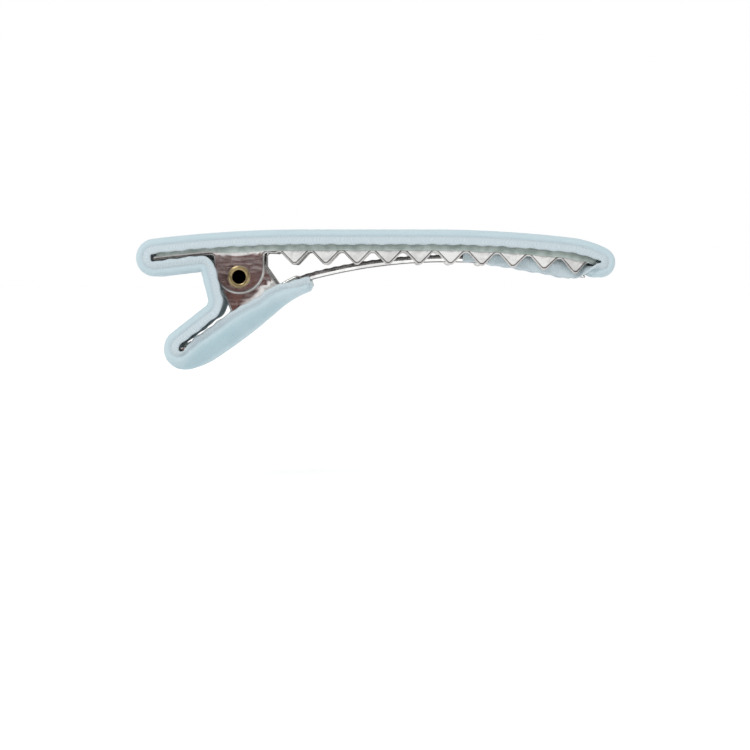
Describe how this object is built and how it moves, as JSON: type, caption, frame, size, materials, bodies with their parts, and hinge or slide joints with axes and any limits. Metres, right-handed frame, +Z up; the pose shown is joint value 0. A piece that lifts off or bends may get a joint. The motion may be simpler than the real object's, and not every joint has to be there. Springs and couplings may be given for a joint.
{
  "type": "alligator hair clip",
  "caption": "Slim sprung hair clip with toothed jaws, its top and lever covered in velvet ribbon.",
  "frame": {"origin": "middle of the flat crown on top of the ribbon, where a bow is fastened", "axes": "+X towards the tip of the jaws, Y along the hinge rivet with its open end at -Y, +Z up out of the covered top"},
  "size_m": [0.058, 0.01, 0.0171],
  "materials": {
    "nickel_steel": "bright nickel plate",
    "rivet_brass": "rolled, slightly dull",
    "spring_steel": "drawn wire",
    "velvet": "short pile velvet with woven edges",
    "adhesive": "dull hot-melt film"
  },
  "bodies": {
    "clip_body": {"upper_jaw": "nickel_steel", "hinge_rivet": "rivet_brass", "torsion_spring": "spring_steel", "ribbon_top": "velvet", "ribbon_hinge": "velvet", "glue_top": "adhesive"},
    "lever": {"lower_jaw": "nickel_steel", "ribbon_lever": "velvet", "glue_lever": "adhesive"}
  },
  "joints": [
    {"name": "lever_hinge", "type": "hinge", "parent": "clip_body", "child": "lever", "pos_m": [-0.0155, 0, -0.00576], "axis": [0, 1, 0], "range_deg": [0, 36], "stiffness_Nm_per_rad": 0.05, "springref_deg": -28.65, "deforming": ["torsion_spring", "ribbon_hinge"]}
  ]
}
